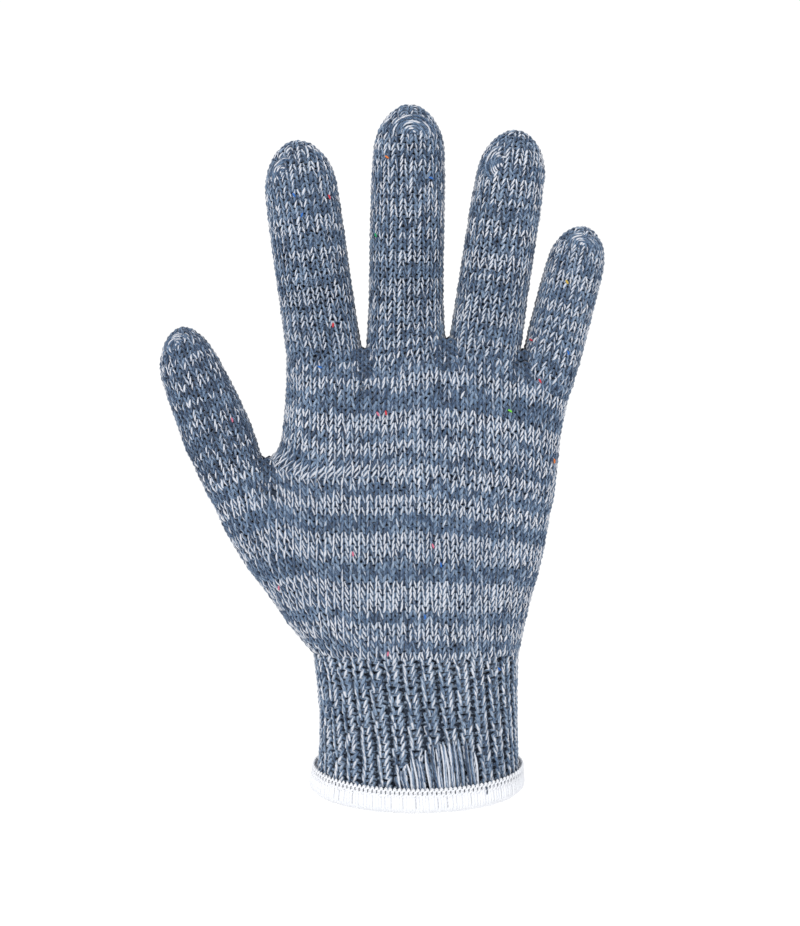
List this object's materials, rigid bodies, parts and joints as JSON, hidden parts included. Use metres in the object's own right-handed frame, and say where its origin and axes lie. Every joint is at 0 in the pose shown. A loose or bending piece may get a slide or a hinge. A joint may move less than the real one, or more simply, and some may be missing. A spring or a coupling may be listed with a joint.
{
  "type": "string-knit cotton work glove",
  "caption": "Seamless string-knit work glove in its worn form, fingers up and thumb out, with a ribbed cuff and a white overlocked hem; the hollow takes a hand.",
  "frame": {"origin": "middle of the wrist opening, level with the hem's lower edge at the sides, where the forearm comes in and holds the glove", "axes": "+Z from the wrist opening towards the fingertips, +X across the hand from the thumb's side to the little finger's side, -Y out of the side that the picture shows"},
  "size_m": [0.1534, 0.0514, 0.2412],
  "materials": {
    "index_finger": "marled string knit",
    "middle_finger": "marled string knit",
    "ring_finger": "marled string knit",
    "little_finger": "marled string knit",
    "thumb": "marled string knit",
    "upper_palm": "marled string knit",
    "lower_palm": "marled string knit",
    "rib_cuff": "elastic rib knit",
    "hem_band": "overlocked thread"
  },
  "bodies": {
    "root": {"index_finger": "index_finger", "middle_finger": "middle_finger", "ring_finger": "ring_finger", "little_finger": "little_finger", "thumb": "thumb", "upper_palm": "upper_palm", "lower_palm": "lower_palm", "rib_cuff": "rib_cuff", "hem_band": "hem_band"}
  },
  "joints": []
}
